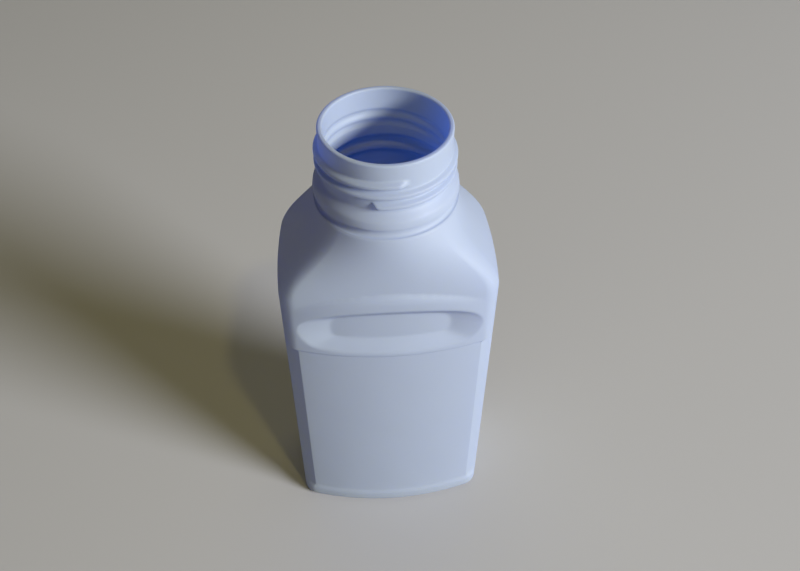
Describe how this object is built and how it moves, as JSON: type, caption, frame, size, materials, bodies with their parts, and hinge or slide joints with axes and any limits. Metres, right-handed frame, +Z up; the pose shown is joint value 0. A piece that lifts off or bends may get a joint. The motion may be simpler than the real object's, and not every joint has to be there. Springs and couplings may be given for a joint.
{
  "type": "plastic bottle",
  "caption": "Oblong blow-moulded plastic bottle with an open screw neck, finger recesses and recessed label panels, shown without its cap.",
  "frame": {"origin": "middle of the base, on the surface that the bottle stands on", "axes": "+Z up along the neck, +X along the width, front towards -Y"},
  "size_m": [0.063, 0.044, 0.1479],
  "materials": {
    "blue_plastic": "satin moulded polyethylene"
  },
  "bodies": {
    "root": {"bottle": "blue_plastic"}
  },
  "joints": []
}
